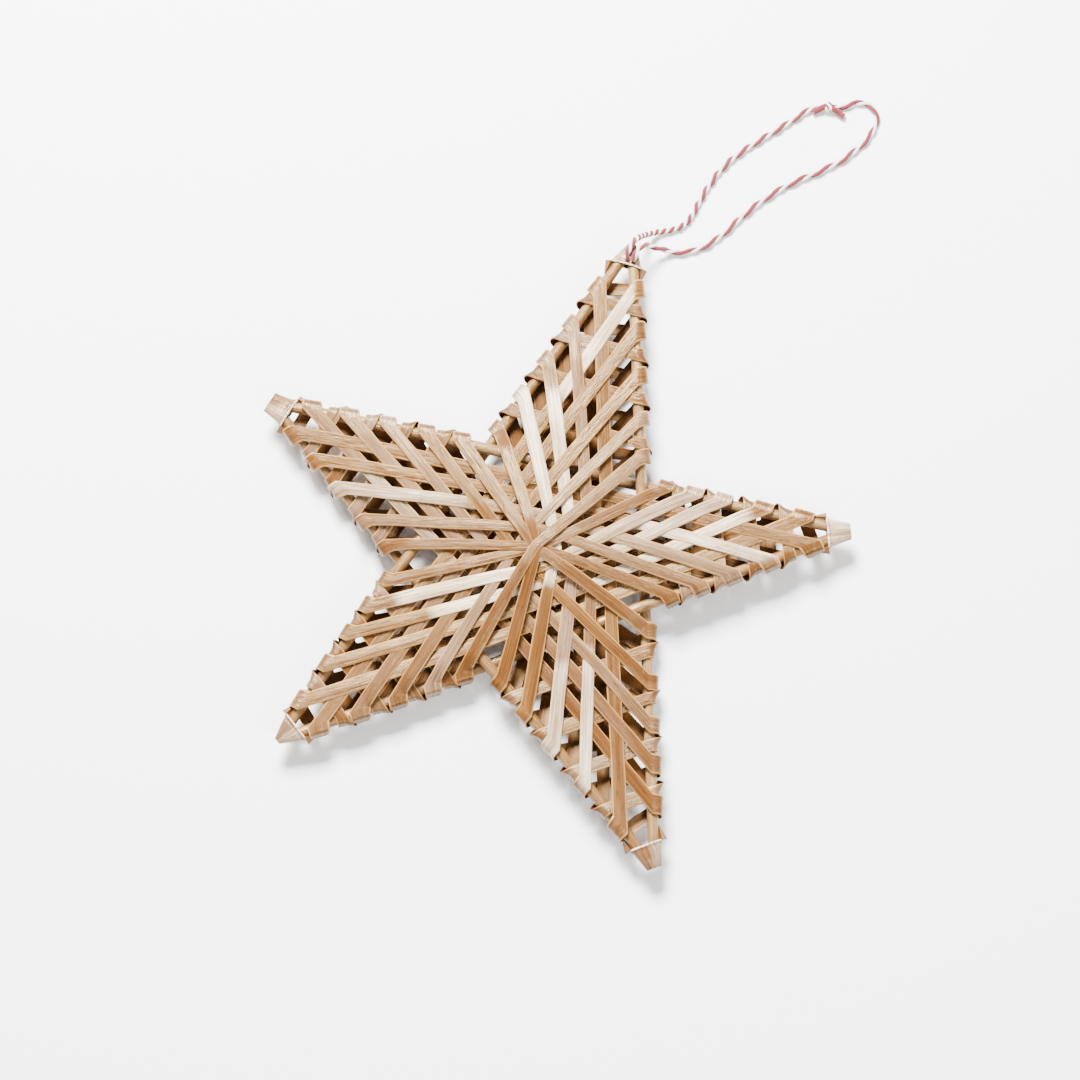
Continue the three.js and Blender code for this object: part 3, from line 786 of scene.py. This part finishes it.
def pullTaut(side, path, startHeight, endHeight):
    # how a strip lies on the pile along a path in plan
    settings = windingSettings
    total = sum((b - a).length for a, b in zip(path, path[1:]))
    reach = settings["width"] / 2 + settings["gap"]
    alongs, places = [], []
    travelled = 0
    for a, b in zip(path, path[1:]):
        length = (b - a).length
        direction = (b - a).normalized()
        steps = math.ceil(length / settings["sampleStep"])
        for step in range(1, steps + 1):
            along = travelled + length * step / steps
            if along > total - settings["sampleStep"] / 2:
                break
            place = a + direction * (along - travelled)
            alongs.append(along)
            for across in settings["sampleAcross"]:
                places.append((
                    place.x - direction.y * across * reach,
                    place.y + direction.x * across * reach,
                ))
        travelled += length
    heights = pileHeights(side, np.array(places))
    heights = heights.reshape(-1, len(settings["sampleAcross"])).max(axis=1)
    samples = [(0, startHeight)]
    for along, height in zip(alongs, heights):
        if np.isfinite(height):
            samples.append((along, height + settings["gap"] + settings["thickness"] / 2))
    samples.append((total, endHeight))
    return tautLine(samples)


def edgeOf(point, sideName):
    # the straw that edges a point on one side, and the plan ray that it follows from the tip
    turn = 2 if sideName == "right" else -2
    straw = point if sideName == "right" else wrap(point - 2)
    inward = (tips[wrap(point + turn)] - tips[point]).normalized()
    outward = Vector((-inward.y, inward.x))
    if outward.dot(tips[point] + inward * tips[point].length) < 0:
        outward.negate()
    return {"straw": straw, "tip": tips[point], "inward": inward, "outward": outward}


def strawHeight(straw, place):
    line = strawLines[straw]
    start, end = line[0].to_2d(), line[-1].to_2d()
    span = end - start
    share = min(max((place - start).dot(span) / span.length_squared, 0), 1)
    steps = starPlan["strawSteps"]
    step = min(int(share * steps), steps - 1)
    return line[step].z + (line[step + 1].z - line[step].z) * (share * steps - step)


def slantOf(direction, edge):
    return direction.x * edge["inward"].y - direction.y * edge["inward"].x


def cutHalf(direction, edge):
    # half the width of a strip as measured along the edge straw it meets
    return windingSettings["width"] / 2 / abs(slantOf(direction, edge))


def cutReach(direction, edge):
    # how far from the edge straw's line the strip is at its full square width
    slope = abs(direction.dot(edge["inward"]) / slantOf(direction, edge))
    return windingSettings["width"] / 2 * slope


def softHeights(line, alongs):
    # the taut line with its bends a little rounded
    fineSteps = round(line[-1][0] / windingSettings["stationSpacing"])
    fine = np.linspace(0, line[-1][0], max(stripSettings["leastSmooth"], fineSteps) + 1)
    heights = np.interp(fine, [a for a, h in line], [h for a, h in line])
    count = stripSettings["smoothing"]
    padded = np.pad(heights, count // 2, mode="edge")
    soft = np.convolve(padded, np.ones(count) / count, mode="valid")
    return np.interp(alongs, fine, soft)


def foldRows(side, edge, spot, shift, radius, runHalf, bandHalf, earReach):
    # stations round an edge straw from the side of the long run to the side of the band
    rows = []
    for step in range(stripSettings["foldRows"] + 1):
        share = step / stripSettings["foldRows"]
        angle = math.pi / 2 - math.pi * share
        # creased over the straw: flat up to the straw's side, and then sharply round it
        crease = stripSettings["crease"]
        corner = (abs(math.cos(angle)) ** crease + abs(math.sin(angle)) ** crease) ** (1 / crease)
        reach = radius / corner
        place = edge["tip"] + edge["inward"] * (spot - shift * share)
        normal = Vector((*edge["outward"] * math.cos(angle), side * math.sin(angle)))
        middle = Vector((*place, strawHeight(edge["straw"], place))) + normal * reach
        half = Vector((*edge["inward"], 0)) * (runHalf + (bandHalf - runHalf) * share)
        fold = math.sin(math.pi * share)
        ear = Vector((*edge["outward"], 0)) * earReach * fold
        rows.append((middle, half, normal, fold, ear))
    return rows


def layBand(side, point, leftSpot, rightSpot, shift, radius):
    # a level band across a point, whose two halves belong to two strips and lap at its middle
    settings = stripSettings
    ends = []
    for name, spot in (("left", leftSpot), ("right", rightSpot)):
        edge = edgeOf(point, name)
        place = edge["tip"] + edge["inward"] * (spot - shift)
        ends.append((edge, place, side * strawHeight(edge["straw"], place) + radius))
    (leftEdge, leftPlace, leftHeight), (rightEdge, rightPlace, rightHeight) = ends
    direction = (rightPlace - leftPlace).normalized()
    line = pullTaut(side, [leftPlace, rightPlace], leftHeight, rightHeight)
    length = (rightPlace - leftPlace).length
    inward = Vector((direction.y, -direction.x, 0))
    for (a0, h0), (a1, h1) in zip(line, line[1:]):
        a = leftPlace + direction * a0
        b = leftPlace + direction * a1
        layRow(
            side, (*a, side * h0), (*b, side * h1),
            windingSettings["width"] / 2, windingSettings["thickness"] / 2,
        )

    def rowsAt(alongs, rises):
        rows = []
        for along, height, rise in zip(alongs, softHeights(line, alongs), rises):
            place = leftPlace + direction * along
            middle = Vector((*place, side * (height + rise)))
            half = inward * windingSettings["width"] / 2
            rows.append((middle, half, Vector((0, 0, side)), 0, Vector()))
        return rows

    lap = settings["lap"] if length > settings["shortBand"] else settings["shortLap"]
    leftStart = min(cutReach(direction, leftEdge), length * settings["bandEnd"])
    rightEnd = max(length - cutReach(direction, rightEdge), length * (1 - settings["bandEnd"]))
    count = max(settings["leastRows"], round(length / 2 / settings["rowStep"]))
    leftAlongs = np.linspace(leftStart, length / 2 + lap, count)
    rightAlongs = np.linspace(length / 2 - lap, rightEnd, count)
    lapStart = length / 2 + lap - settings["lapSlope"] * lap
    rises = [
        settings["lapRise"] * max(0, (along - lapStart) / (settings["lapSlope"] * lap))
        for along in leftAlongs
    ]
    return {
        "leftHalf": rowsAt(leftAlongs, rises),
        "rightHalf": rowsAt(rightAlongs, [0] * count),
        "leftWidth": cutHalf(direction, leftEdge),
        "rightWidth": cutHalf(direction, rightEdge),
    }


def layRun(side, start, end, fromPoint, fromSpot, toSpot, passBy, radius, noise):
    # a long run from one point to another, past the middle of the star on one side
    settings = windingSettings
    startPlace = start["tip"] + start["inward"] * fromSpot
    endPlace = end["tip"] + end["inward"] * toSpot
    bend = edgeOf(fromPoint, "left")["outward"] * passBy
    path = [startPlace, bend, endPlace]
    first = pullTaut(
        side, path,
        side * strawHeight(start["straw"], startPlace) + radius,
        side * strawHeight(end["straw"], endPlace) + radius,
    )
    bendAlong = (bend - startPlace).length
    total = bendAlong + (endPlace - bend).length
    crown = max(h for a, h in first)
    crownAt = next(a for a, h in first if h == crown)
    spacing, flat = settings["stationSpacing"], settings["hubFlat"]
    flatFrom = max(spacing, min(crownAt, bendAlong) - flat / 2)
    flatTo = min(total - spacing, max(crownAt, bendAlong) + flat / 2)
    crowned = [(a, h) for a, h in first if a < flatFrom or a > flatTo]
    crowned += [(flatFrom, crown), (flatTo, crown)]
    line = tautLine(sorted(crowned))
    legs = [(bend - startPlace).normalized(), (endPlace - bend).normalized()]

    def placeAt(along):
        if along <= bendAlong:
            return startPlace + legs[0] * along
        return bend + legs[1] * (along - bendAlong)

    for (a0, h0), (a1, h1) in zip(line, line[1:]):
        layRow(
            side, (*placeAt(a0), side * h0), (*placeAt(a1), side * h1),
            settings["width"] / 2, settings["thickness"] / 2,
        )
    squareFrom = cutReach(legs[0], start)
    squareTo = total - cutReach(legs[1], end)
    count = round((squareTo - squareFrom) / stripSettings["rowStep"])
    alongs = np.linspace(squareFrom, squareTo, count + 1)
    phase = noise.uniform(0, stripSettings["phaseRange"])
    rows = []
    for along, height in zip(alongs, softHeights(line, alongs)):
        # the strip turns softly at the bend, wanders a little and is narrower near the bend
        turned = min(max((along - bendAlong) / stripSettings["turnReach"] + 0.5, 0), 1)
        leg = legs[0].lerp(legs[1], turned).normalized()
        left = Vector((-leg.y, leg.x))
        held = math.sin(math.pi * (along - squareFrom) / (squareTo - squareFrom))
        wave = math.sin(phase + along * stripSettings["wanderRate"])
        wander = stripSettings["wander"] * held * wave
        middle = Vector((*(placeAt(along) + left * wander), side * height))
        fromBend = (along - bendAlong) / stripSettings["pinchReach"]
        pinch = 1 - stripSettings["pinch"] * math.exp(-fromBend ** 2)
        half = Vector((*left, 0)) * settings["width"] / 2 * pinch
        rows.append((middle, half, Vector((0, 0, side)), 0, Vector()))
    return {
        "rows": rows,
        "startWidth": cutHalf(legs[0], start),
        "endWidth": cutHalf(legs[1], end),
    }


# a strip's cross-section, in its half width and half thickness: a pressed straw with a rounded rim
# along each edge and a few soft ridges between
stripOutline = [
    (-1, 0.1), (-0.95, 1.5), (-0.84, 1.9), (-0.7, 1.2), (-0.42, 0.9), (-0.16, 1.3), (0.1, 0.9),
    (0.36, 1.25), (0.66, 1), (0.82, 1.8), (0.94, 1.6), (1, 0.1),
    (0.96, -1), (0.5, -1), (0, -1), (-0.5, -1), (-0.96, -1),
]
# the material of each face of the section, the grain's place across it in mm, and its sharp corners
# slot 0 is the skin, slot 1 the inside painted dark as painted shade, slot 2 the rims painted pale
# as a painted highlight
stripSlots = [2, 2, 0, 0, 0, 0, 0, 0, 0, 2, 2, 2, 1, 1, 1, 1, 2]
stripAcross = [
    -2.1, -1.9, -1.68, -1.4, -0.84, -0.32, 0.2, 0.72, 1.32, 1.64, 1.9, 2.1,
    2.4, 3.3, 4.3, 5.3, 6.2, 6.5,
]
stripCorners = (0, 11, 12, 16)

# where strips turn pale, by round and first point: from and to in the length, and how pale
paleSpans = {
    ("front", 4, 2): [(0.42, 0.84, 0.95)],
    ("front", 3, 2): [(0.12, 0.3, 0.7), (0.44, 0.8, 0.95)],
    ("front", 2, 2): [(0.1, 0.34, 0.75)],
    ("front", 4, 3): [(0.21, 0.48, 1), (0.54, 0.9, 0.4)],
    ("front", 3, 3): [(0.28, 0.5, 0.95), (0.62, 0.9, 0.4)],
    ("front", 2, 3): [(0.55, 0.88, 0.7)],
    ("front", 1, 0): [(0.08, 0.3, 0.75)],
    ("front", 2, 1): [(0.1, 0.34, 0.8)],
    ("front", 1, 4): [(0.2, 0.5, 0.3)],
    ("front", 3, 1): [(0.62, 0.9, 0.4)],
}


def clamped(value):
    return min(max(value, 0), 1)


def makeStrip(name, rows, side, noise, nodeName, spans):
    settings = stripSettings
    thickness = windingSettings["thickness"]
    travelled = 0
    alongs = []
    for i, row in enumerate(rows):
        if i:
            travelled += (row[0] - rows[i - 1][0]).length
        alongs.append(travelled)
    # a higher seed is a darker, warmer honey; the back strips, lying deeper, take high seeds as
    # painted shade, while the front strips' seeds are random tone
    seed = noise.random() if side > 0 else noise.uniform(*settings["backShadeSeeds"])
    base = noise.choice(settings["basePaleness"])
    drift = noise.uniform(-settings["palenessDrift"], settings["palenessDrift"])
    wide = settings["usualWidth"] + noise.uniform(-1, 1) * settings["widthSpread"]
    phase = noise.uniform(0, settings["phaseRange"])
    rings, tones = [], []
    for (middle, half, normal, fold, ear), along in zip(rows, alongs):
        swell = 1
        for size, order, rate in settings["swells"]:
            swell += size * math.sin(phase * order + along * rate)
        swell *= wide
        # a skin that would reach below the floor is pressed flatter, then lifted by what is left
        fullCup = settings["cup"] * (1 - settings["foldFlatness"] * fold)
        lowest = middle.z + starMiddle.z + normal.z * (fullCup + thickness)
        shortage = max(0, settings["clearFloor"] - lowest)
        crown = max(0, fullCup - shortage)
        lifted = middle + Vector((0, 0, shortage - (fullCup - crown)))
        share = along / travelled
        pale = clamped(base + drift * (share - 0.5))
        for low, high, value in spans:
            edge = settings["spanEdge"]
            pale += (value - pale) * clamped((share - low) / edge) * clamped((high - share) / edge)
        ring, row = [], []
        for across, height in stripOutline:
            out = crown * (1 - across * across) + height * thickness / 2
            hubward = across * side
            ring.append(lifted + half * across * swell + normal * out + ear * max(0, hubward))
            # painted shade: in a fold the hubward half is darkened, less on the front strips than on
            # the back
            shade = clamped(settings["shadeBase"] + (1 - settings["shadeBase"]) * hubward)
            row.append((pale, seed, shade * fold * settings["earShade"][side], 1))
        rings.append(ring)
        tones.append(row)
    bm = loft(rings, alongs, stripAcross, stripSlots, tones, stripCorners)
    addPiece(name, bm, [strawSkin, strawShadedInside, strawEdgeHighlight], [nodeName])


def evenSpot(point, sideName, turn):
    # even steps along an edge straw, from near the tip to near the notch between two points
    step = 1 if sideName == "right" else -1
    around = [tips[wrap(point + turns * step)] for turns in (0, 2, 1, -1)]
    notch = crossing(*around)
    settings = windingSettings
    reach = (notch - tips[point]).length - settings["frontLast"] - settings["frontStart"]
    return settings["frontStart"] + reach / (frontRounds - 1) * turn


def frontSpot(point, turn, sideName):
    return evenSpot(point, sideName, turn) + windingSettings["strays"][point][sideName][turn]


def backSpot(point, turn, sideName):
    between = turn + windingSettings["backBetween"]
    even = (evenSpot(point, "left", between) + evenSpot(point, "right", between)) / 2
    return even + windingSettings["backShift"]


def wind(side, name, rounds, spotOf, shift, passStep, passLast, radius):
    bands = []
    for turn in range(rounds):
        bands.append([
            layBand(-side, k, spotOf(k, turn, "left"), spotOf(k, turn, "right"), shift, radius)
            for k in pointNumbers
        ])
    for turn in range(rounds):
        order = windingSettings["lastOrder" if turn == rounds - 1 else "layingOrder"]
        for fromPoint in order:
            toPoint = wrap(fromPoint - 2)
            place = f"{turn + 1}_{starPlan['names'][fromPoint]}"
            node = f"{name}_strip_{place}"
            noise = random.Random(node)
            fromSpot = spotOf(fromPoint, turn, "right")
            toSpot = spotOf(toPoint, turn, "left")
            start, end = edgeOf(fromPoint, "right"), edgeOf(toPoint, "left")
            passBy = passLast + passStep * (rounds - 1 - turn)
            run = layRun(side, start, end, fromPoint, fromSpot, toSpot, passBy, radius, noise)
            fromBand, toBand = bands[turn][fromPoint], bands[turn][toPoint]
            ear = stripSettings["ears"][side]
            startFold = foldRows(
                side, start, fromSpot, shift, radius,
                run["startWidth"], fromBand["rightWidth"], ear,
            )
            endFold = foldRows(
                side, end, toSpot, shift, radius,
                run["endWidth"], toBand["leftWidth"], ear,
            )
            rows = [
                *fromBand["rightHalf"], *startFold[::-1], *run["rows"],
                *endFold, *toBand["leftHalf"],
            ]
            # turned over with the side, so that a section runs the same way round on both
            rows = [(middle, half * side, *others) for middle, half, *others in rows]
            spans = paleSpans.get((name, turn + 1, fromPoint), [])
            makeStrip(f"{name}_winding_{place}", rows, side, noise, node, spans)


wind(
    -1, "back", backRounds, backSpot, windingSettings["backShift"],
    windingSettings["backPassStep"], windingSettings["backPassLast"], innerFold,
)
wind(
    1, "front", frontRounds, frontSpot, windingSettings["frontShift"],
    windingSettings["frontPassStep"], windingSettings["frontPassLast"], outerFold,
)
print("winding made")


# caps over the straw ends

capSettings = {
    "length": 6.4, "wall": 0.35, "clearance": 0.15, "noseWidths": [2.2, 4.4, 4, 1.8, 5.8],
    "noseThickness": 1.2, "ear": 0.6, "earLength": 1.1, "sides": 32, "acrossStep": 0.6,
    "collarBand": 0.4, "collarRise": 0.12, "collarTuck": 0.3, "collarStep": 0.1,
    "flapLength": 4, "flapRadius": 1.8, "flapTip": 0.12, "flapHeight": 1.6, "flapInset": 0.15,
    "flapTuck": 0.2, "flapLean": 0.5, "flapPaleness": 0.1,
    "palenessByPoint": [0.1, 0.4, 0.03, 0.1, 0.04], "leafContrast": 0.3,
    "leafFrom": -0.1,
}


def capRing(depth, halfWidth, halfHeight, power, sides):
    # an oval, the squarer the smaller the power
    ring = []
    for j in range(sides):
        turn = 2 * math.pi * j / sides
        c, s = math.cos(turn), math.sin(turn)
        x = halfWidth * math.copysign(abs(c) ** power, c)
        z = halfHeight * math.copysign(abs(s) ** power, s)
        ring.append(Vector((x, -depth, z)))
    return ring


def addFlap(bm, place, turn, lean, shade, settings):
    # a pointed flap of folded straw that stands out below the collar
    made = bmesh.ops.create_cone(
        bm, cap_ends=True, segments=3, radius1=settings["flapRadius"],
        radius2=settings["flapTip"], depth=settings["flapLength"],
    )["verts"]
    shape = (
        Matrix.Translation(toFrame(place)) @ turn @ Matrix.Rotation(lean, 4, "Z")
        @ Matrix.Diagonal((mm, mm, mm * settings["flapHeight"] / 2, 1))
        @ Matrix.Rotation(math.pi / 2, 4, "X")
    )
    uv, tone = bm.loops.layers.uv["grainUV"], bm.verts.layers.float_color["tone"]
    for vert in made:
        for part in vert.link_loops:
            part[uv].uv = (vert.co.x, vert.co.z)
        vert[tone] = shade
    # painted shade: the flaps take the darkened inside finish
    for face in {face for vert in made for face in vert.link_faces}:
        face.material_index = 1
        face.smooth = False
    bmesh.ops.transform(bm, matrix=shape, verts=made)


def makeCap(k, settings):
    half = halfAngle(k)
    strawRadius = starPlan["strawRadius"]
    pocketTop = setback(k) * math.cos(half) - strawRadius * math.sin(half) - settings["clearance"]
    wall, length, sides = settings["wall"], settings["length"], settings["sides"]
    fullHeight = strawRadius + settings["clearance"] + wall
    noseHalf = settings["noseWidths"][k] / 2

    def pocketHalf(depth):
        return depth * math.tan(half) + strawRadius / math.cos(half) + settings["clearance"]

    flareAt = length - settings["earLength"]
    between = (pocketTop + flareAt) / 2
    collarAt = length - settings["collarBand"]
    collarHalf = pocketHalf(length) + wall + settings["ear"]
    collarHeight = fullHeight + settings["collarRise"]
    step, tuck = settings["collarStep"], settings["collarTuck"]
    pale = settings["palenessByPoint"][k]
    taper = (noseHalf + pocketHalf(pocketTop) + wall) / 2
    # each ring: depth from the tip, half width, half height, roundness, paleness and shade
    outer = [
        (0, noseHalf, settings["noseThickness"] / 2, 0.6, pale, 0.3),
        (pocketTop / 2, taper, fullHeight * 0.75, 0.6, pale, 0),
        (pocketTop, pocketHalf(pocketTop) + wall, fullHeight, 0.6, pale, 0),
        (between, pocketHalf(between) + wall, fullHeight, 0.62, pale, 0),
        (flareAt, pocketHalf(flareAt) + wall, fullHeight, 0.75, pale, 0.15),
        (collarAt - step, collarHalf - tuck, fullHeight, 0.9, pale, 0.4),
        (collarAt, collarHalf - step, collarHeight, 0.92, 1, 0),
        (length, collarHalf, collarHeight, 0.95, 1, 0),
    ]
    inner = [
        (length, pocketHalf(length) + settings["ear"] * 0.6, fullHeight - wall, 0.95, 0, 1),
        (flareAt, pocketHalf(flareAt), fullHeight - wall, 0.75, 0, 1),
        (pocketTop, pocketHalf(pocketTop) * 0.9, (fullHeight - wall) * 0.8, 0.7, 0, 1),
    ]
    axis = (edgeOf(k, "right")["inward"] + edgeOf(k, "left")["inward"]).normalized()
    turn = Matrix.Rotation(math.atan2(-axis.y, -axis.x) - math.pi / 2, 4, "Z")
    tip = Vector((*tips[k], 0))
    seed = random.Random(k).random()
    # one half of the folded leaf is paler than the other
    reaches = [math.cos(2 * math.pi * j / sides) for j in range(sides)]
    extras = [settings["leafContrast"] if reach < settings["leafFrom"] else 0 for reach in reaches]
    rings, tones = [], []
    for depth, width, height, power, paleness, shade in outer + inner:
        rings.append([turn @ place + tip for place in capRing(depth, width, height, power, sides)])
        tones.append([(min(1, paleness + extra), seed, shade, 1) for extra in extras])
    depths = [ring[0] for ring in outer + inner]
    acrosses = [j * settings["acrossStep"] for j in range(sides + 1)]
    bm = loft(rings, depths, acrosses, [0] * sides, tones)
    flapAt = length + settings["flapLength"] / 2 - settings["flapTuck"]
    for side in (-1, 1):
        place = Vector((side * (collarHalf - settings["flapInset"]), -flapAt, 0))
        lean = side * half * settings["flapLean"]
        flapTone = (settings["flapPaleness"], seed, 0, 1)
        addFlap(bm, turn @ place + tip, turn, lean, flapTone, settings)
    name = starPlan["names"][k]
    addPiece(f"point_cap_{name}", bm, [strawSkin, strawShadedInside], [f"tip_cap_{name}"])


for k in pointNumbers:
    makeCap(k, capSettings)
print("caps made")
